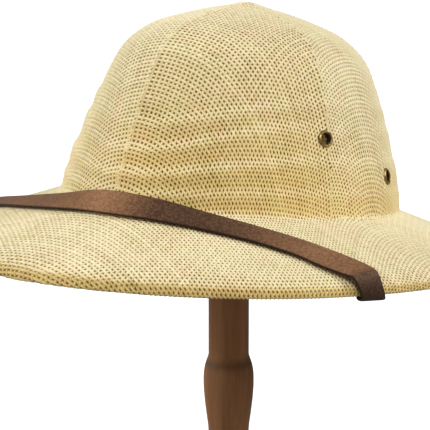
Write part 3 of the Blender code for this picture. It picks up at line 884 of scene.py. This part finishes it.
# ---- chin strap
def strap_over_brim():
    """Middle and across direction of the strap where it lies over the brim."""
    out = []
    sides = [row[0] for row in STRAP_RUN]
    slopes = np.gradient([-row[1] for row in STRAP_RUN], sides)
    for (side, forward, lean, lift, shade), slope in zip(STRAP_RUN, slopes):
        inward = Vector((-slope, 1.0, 0.0)).normalized()
        lean = radians(lean)
        across = inward * cos(lean) + Vector((0, 0, 1)) * sin(lean)
        foot = Vector((side, -forward, 0.0)) - inward * (STRAP_WIDTH / 2 * cos(lean))
        angle = atan2(foot.x, -foot.y)
        share = (hypot(foot.x, foot.y) - oval_radius(angle)) / wave(BRIM_WIDTH, angle)
        brim = float(-brim_drop(angle, min(max(share, 0.0), 1.0)))
        foot.z = brim + lift + STRAP_THICK / 2 * cos(lean)
        out.append((foot + across * STRAP_WIDTH / 2, across, shade))
    return out


def strap_end():
    """Middle and across direction from over the left lip to the strap's hidden end."""
    out = []
    angle = STRAP_EDGE_ANGLE
    radial = Vector((sin(angle), -cos(angle), 0.0))
    edge_line = brim_surface(angle + 0.04, 1.0) - brim_surface(angle - 0.04, 1.0)
    across = vector(edge_line).normalized()
    edge = oval_radius(angle) + wave(BRIM_WIDTH, angle)
    edge_z = -brim_drop(angle, 1.0)
    for outward, up, slide, lean, shade in STRAP_TURN:
        lean = radians(lean)
        leaning = across * cos(lean) + Vector((0, 0, 1)) * sin(lean)
        lift = Vector((0, 0, float(edge_z + up + STRAP_WIDTH / 2 * sin(lean))))
        out.append((radial * float(edge + outward) + across * slide + lift, leaning, shade))
    shade = STRAP_HIDDEN_SHADE
    # under the brim, up through the crease and along the crown's inside
    for share in (0.62, 0.36, 0.12):
        out.append((vector(brim_surface(angle, share, STRAP_UNDER)), across, shade))
    wall = float(oval_radius(angle))
    out.append((radial * (wall - STRAP_INSIDE - 0.0022) + Vector((0, 0, -0.0012)), across, shade))
    for height in (0.0055, STRAP_END):
        share = float(outline_radius(height / CROWN_HEIGHT))
        out.append((radial * (wall * share - STRAP_INSIDE - 0.0008) + Vector((0, 0, height)),
                    across, shade))
    return out


def smooth_through(points, parts):
    """Catmull-Rom points through a list of vectors."""
    out = []
    knots = [points[0], *points, points[-1]]
    for p0, p1, p2, p3 in zip(knots, knots[1:], knots[2:], knots[3:]):
        for k in range(parts):
            t = k / parts
            out.append(0.5 * ((2 * p1) + (p2 - p0) * t + (2 * p0 - 5 * p1 + 4 * p2 - p3) * t * t
                              + (3 * p1 - p0 - 3 * p2 + p3) * t ** 3))
    out.append(points[-1])
    return np.array([list(point) for point in out])


def unit(rows):
    return rows / np.linalg.norm(rows, axis=1)[:, None]


def build_strap():
    end = strap_end()
    mirrored = []
    for middle, across, shade in reversed(end):
        across = Vector((-across.x, across.y, across.z))
        if across.y < 0:
            across = -across
        mirrored.append((Vector((-middle.x, middle.y, middle.z)), across, shade))
    middles, directions, shades = zip(*mirrored, *strap_over_brim(), *end)
    middle = smooth_through(middles, STRAP_PARTS)
    across = unit(smooth_through(directions, STRAP_PARTS))
    rows = len(middle)
    shades = np.interp(np.arange(rows) / STRAP_PARTS, np.arange(len(shades)), shades)
    normal = unit(np.cross(unit(np.gradient(middle, axis=0)), across))
    one_side = np.array(STRAP_SECTION)
    side, thick, painted_shading = np.concatenate([one_side, one_side * (-1, -1, 1)]).T[..., None]
    verts = (middle[:, None] + across[:, None] * (side * STRAP_WIDTH / 2)
             + normal[:, None] * (thick * STRAP_THICK / 2))
    index = np.arange(rows * len(painted_shading)).reshape(rows, -1)
    faces = grid_faces(np.hstack([index, index[:, :1]]))
    # edge: how much painted shadow darkens an edge; shade: the painted light and shade along the
    # strap
    values = ("edge", np.tile(painted_shading[:, 0], rows)), ("shade", np.repeat(shades, len(painted_shading)))
    verts = moved(verts.reshape(-1, 3), HAT_MATRIX)
    made = mesh_object("leather_chin_strap", verts, faces, leather, values=values)
    face_outward(made.data, close=True)
    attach(made, "root")
    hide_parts("chin_strap")


build_strap()


# ---- turned pieces
def lathe(name, outline, steps, mat, painted_shade, place=None):
    """A turned piece from an outline of (radius, height); a zero radius is a pole.

    The function given after the material gives, from a radius and a height, how much painted shade
    darkens the surface there.
    """
    verts, rings = [], []
    for radius, height in outline:
        count = steps if radius > 0.0 else 1
        rings.append([len(verts) + k % count for k in range(steps)])
        for k in range(count):
            a = tau * k / steps
            verts.append((radius * cos(a), radius * sin(a), height))
    faces = []
    for a, b in zip(rings, rings[1:]):
        for k in range(steps):
            n = (k + 1) % steps
            face = list(dict.fromkeys((a[k], a[n], b[n], b[k])))
            if len(face) > 2:
                faces.append(face)
    mesh = bpy.data.meshes.new(name)
    mesh.from_pydata(verts, [], faces)
    mesh.validate()
    mesh.shade_smooth()
    add_values(mesh, "painted_shade", [painted_shade(hypot(v.co.x, v.co.y), v.co.z) for v in mesh.vertices])
    mesh.materials.append(mat)
    if place is not None:
        mesh.transform(place)
    made = add_object(name, mesh)
    face_outward(mesh)
    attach(made, "root")
    return made


def rounded(outline, radius, parts=3):
    """The outline with each inner corner rounded by up to that radius."""
    out = [outline[0]]
    for a, b, c in zip(outline, outline[1:], outline[2:]):
        a, b, c = Vector(a), Vector(b), Vector(c)
        ab, bc = (b - a), (c - b)
        if ab.angle(bc) < 0.03:     # too flat to round
            out.append(tuple(b))
            continue
        cut = min(radius, 0.45 * ab.length, 0.45 * bc.length)
        p, q = b - ab.normalized() * cut, b + bc.normalized() * cut
        for k in range(parts + 1):
            t = k / parts
            out.append(tuple(p * (1 - t) ** 2 + b * 2 * t * (1 - t) + q * t * t))
    out.append(outline[-1])
    return out


EYELET_OUTLINE = (
    (EYELET_HOLE, EYELET_OUTER + 0.35 * EYELET_LEAF),
    (EYELET_HOLE + 0.0006, EYELET_OUTER + EYELET_LEAF),
    (EYELET_RADIUS - 0.0009, EYELET_OUTER + EYELET_LEAF),
    (EYELET_RADIUS, EYELET_OUTER + 0.15 * EYELET_LEAF),
    (EYELET_RADIUS, EYELET_OUTER - EYELET_SUNK), (EYELET_BARREL, EYELET_OUTER - EYELET_SUNK),
    (EYELET_BARREL, EYELET_INNER), (EYELET_RADIUS - 0.0006, EYELET_INNER),
    (EYELET_RADIUS - 0.0008, EYELET_INNER - EYELET_LEAF),
    (EYELET_HOLE, EYELET_INNER - EYELET_LEAF), (EYELET_HOLE, EYELET_OUTER + 0.35 * EYELET_LEAF),
)
BASE_OUTLINE = (
    (0.0, BASE_THICK), (0.03, BASE_THICK), (BASE_RADIUS - 0.012, BASE_THICK - 0.003),
    (BASE_RADIUS - 0.003, BASE_THICK - 0.007), (BASE_RADIUS, 0.0075),
    (BASE_RADIUS - 0.0004, 0.003), (BASE_RADIUS - 0.0022, 0.0), (0.0, 0.0),
)
# the swelling and the stem over it are the photo's, what is below them is plain
POST_OUTLINE = (
    (0.0, CAP_TOP - CAP_THICK - GAP), (POST_RADIUS, CAP_TOP - CAP_THICK - GAP),
    (POST_RADIUS, 0.144), (0.0118, 0.142), (0.0129, 0.139), (0.0137, 0.135),
    (0.01395, 0.131), (0.0139, 0.126), (0.0133, 0.118), (0.0123, 0.11),
    (0.0113, 0.103), (POST_RADIUS, 0.098), (POST_RADIUS, 0.042),
    (0.0135, 0.034), (0.019, 0.026), (0.022, BASE_THICK + GAP), (0.0, BASE_THICK + GAP),
)
CAP_OUTLINE = (
    (0.0, CAP_TOP), (0.4 * CAP_RADIUS, CAP_TOP - 0.002), (0.7 * CAP_RADIUS, CAP_TOP - 0.007),
    (0.9 * CAP_RADIUS, CAP_TOP - 0.0135), (CAP_RADIUS, CAP_TOP - 0.02),
    (0.97 * CAP_RADIUS, CAP_TOP - CAP_THICK), (0.0, CAP_TOP - CAP_THICK),
)
SWELL_TOP = 0.14  # the hollow over the post's swelling
SWELL_PAINTED_SHADE = (0.45, 0.0024)  # how dark the painted shade is there, and over what height


def eyelet_painted_shade(radius, height):
    """Painted shade: the eyelet is painted dark inside its hole."""
    return float(radius < EYELET_HOLE + 0.0002 and height < EYELET_OUTER + 0.5 * EYELET_LEAF)


def wood_painted_shade(_, height):
    """Painted shade: the wood is painted darker in the hollow over the post's swelling."""
    share, spread = SWELL_PAINTED_SHADE
    return share * exp(-((height - SWELL_TOP) / spread) ** 2)


for name, eye in EYELET_FRAMES:
    ring = lathe(f"brass_{name}", rounded(EYELET_OUTLINE, 0.0004), 40, brass, eyelet_painted_shade,
                 HAT_MATRIX @ eye)
    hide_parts(name)

for node_name, outline, turn_radius in (("stand_base", BASE_OUTLINE, 0.004),
                                        ("stand_post", POST_OUTLINE, 0.003),
                                        ("stand_cap", CAP_OUTLINE, 0.004)):
    piece = lathe(node_name.replace("stand", "wood"), rounded(outline, turn_radius, 4), 96, wood,
                  wood_painted_shade)
    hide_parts(node_name)

# ---- floor, light, camera
FLOOR_HALF = 30.0
FLOOR_BOUNCE = 0.19  # how light the floor is to the object over it
FLOOR_SEEN = 0.97  # how light it is to the camera
FLOOR_GLOW = 0.2  # how much it glows, to stay pale
TENT = 0.28  # how bright the light tent is above the horizon
WHITE = (1.0, 1.0, 1.0, 1.0)
VIEW_TURN = radians(36.82)  # the camera looks from the front and this far left
VIEW_RISE = radians(11.9)
VIEW_AWAY = 1.2055
AIM_SHIFT = (-0.008727, -0.009229)  # right and up from the crown-brim oval's middle
LENS_MM, SENSOR_MM = 185.23, 36.0
SUN_SIZE = radians(30)
SUNS = (
    # name, strength, towards (right, up, back) in the camera's directions, colour
    ("side_left", 1.74, (-1.0, 0.32, -0.08), (0.95, 1.0, 1.07)),
    ("front_high", 1.48, (0.0, 0.6, 0.8), (1.03, 1.0, 0.95)),
    ("side_right", 1.63, (0.75, 0.6, 0.2), (0.94, 1.0, 1.1)),
)
scene = bpy.context.scene


def make_floor():
    mesh = bpy.data.meshes.new("floor")
    corners = [(x * FLOOR_HALF, y * FLOOR_HALF, 0) for x, y in ((-1, -1), (1, -1), (1, 1), (-1, 1))]
    mesh.from_pydata(corners, [], [(0, 1, 2, 3)])
    floor = add_object("floor", mesh)
    nodes = new_material("pale_floor")
    seen = nodes.add("LightPath", "Is Camera Ray")
    mesh.materials.append(nodes.shade({
        "Base Color": nodes.mix(seen, (*[FLOOR_BOUNCE] * 3, 1.0), (*[FLOOR_SEEN] * 3, 1.0)),
        "Roughness": 1.0, "Specular IOR Level": 0.0,
        "Emission Color": WHITE, "Emission Strength": FLOOR_GLOW,
    }))


def make_world():
    """A light tent: even above the horizon, dark below it, and white to the camera."""
    nodes = Nodes(bpy.data.worlds.new("studio"))
    height = nodes.parts(nodes.add("TexCoord", "Generated"))["Z"]
    glow = nodes.ramp(nodes.maths("MULTIPLY_ADD", height, 0.5, 0.5),
                      (0.0, 0.0), (0.495, 0.0), (0.52, TENT))
    seen = nodes.add("LightPath", "Is Camera Ray")
    scene.world = nodes.shade({"Color": nodes.mix(seen, glow, WHITE), "Strength": 1.0}, "Background")


make_floor()
make_world()

right = Vector((cos(VIEW_TURN), sin(VIEW_TURN), 0.0))
back = Vector((sin(VIEW_TURN) * cos(VIEW_RISE),
               -cos(VIEW_TURN) * cos(VIEW_RISE), sin(VIEW_RISE)))
up = back.cross(right)

for name, strength, towards, colour in SUNS:
    light = bpy.data.lights.new(name, "SUN")
    light.energy = strength
    light.color = colour
    light.angle = SUN_SIZE
    lamp = add_object(name, light)
    way = right * towards[0] + up * towards[1] + back * towards[2]
    lamp.rotation_mode = "QUATERNION"
    lamp.rotation_quaternion = way.to_track_quat("Z", "Y")

camera_data = bpy.data.cameras.new("camera")
camera_data.sensor_width = SENSOR_MM
camera_data.lens = LENS_MM
camera_data.clip_start, camera_data.clip_end = 0.05, 100.0
camera = add_object("camera", camera_data)
aim = Vector(HAT_AT) + right * AIM_SHIFT[0] + up * AIM_SHIFT[1]
camera.matrix_world = (Matrix.Translation(aim + back * VIEW_AWAY)
                       @ Matrix(tuple(zip(right, up, back))).to_4x4())
scene.camera = camera
scene.view_settings.view_transform = "Standard"
